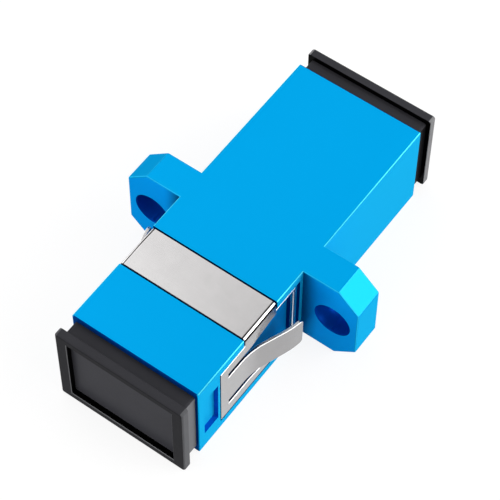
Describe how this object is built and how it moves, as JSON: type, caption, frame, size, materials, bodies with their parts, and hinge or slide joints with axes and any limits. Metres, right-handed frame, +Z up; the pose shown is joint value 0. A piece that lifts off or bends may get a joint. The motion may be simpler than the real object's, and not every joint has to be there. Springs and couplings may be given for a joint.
{
  "type": "sc fibre adapter",
  "caption": "SC fibre-optic adapter: rectangular plastic body with drilled mounting ears, a sprung steel panel clip and pull-out dust caps in its plug ports.",
  "frame": {"origin": "on the underside plane, under the middle of the body and of the mounting ears", "axes": "+Y along the fibre axis from the clip end to the plain end, +X through the right-hand ear, +Z up through the face that carries the clip's strip"},
  "size_m": [0.024, 0.0366, 0.0095],
  "materials": {
    "blue_plastic": "moulded, satin",
    "ceramic": "ground white ceramic",
    "spring_steel": "rolled stainless strip, satin",
    "black_plastic": "moulded, fine grain"
  },
  "bodies": {
    "adapter": {"housing": "blue_plastic", "bottom_cover": "blue_plastic", "front_sleeve_holder": "blue_plastic", "rear_sleeve_holder": "blue_plastic", "alignment_sleeve": "ceramic", "panel_clip": "spring_steel"},
    "front_cap": {"front_dust_cap": "black_plastic"},
    "rear_cap": {"rear_dust_cap": "black_plastic"}
  },
  "joints": [
    {"name": "front_cap_pull", "type": "slide", "parent": "adapter", "child": "front_cap", "axis": [0, -1, 0], "range_m": [0, 0.012]},
    {"name": "rear_cap_pull", "type": "slide", "parent": "adapter", "child": "rear_cap", "axis": [0, 1, 0], "range_m": [0, 0.012]}
  ]
}
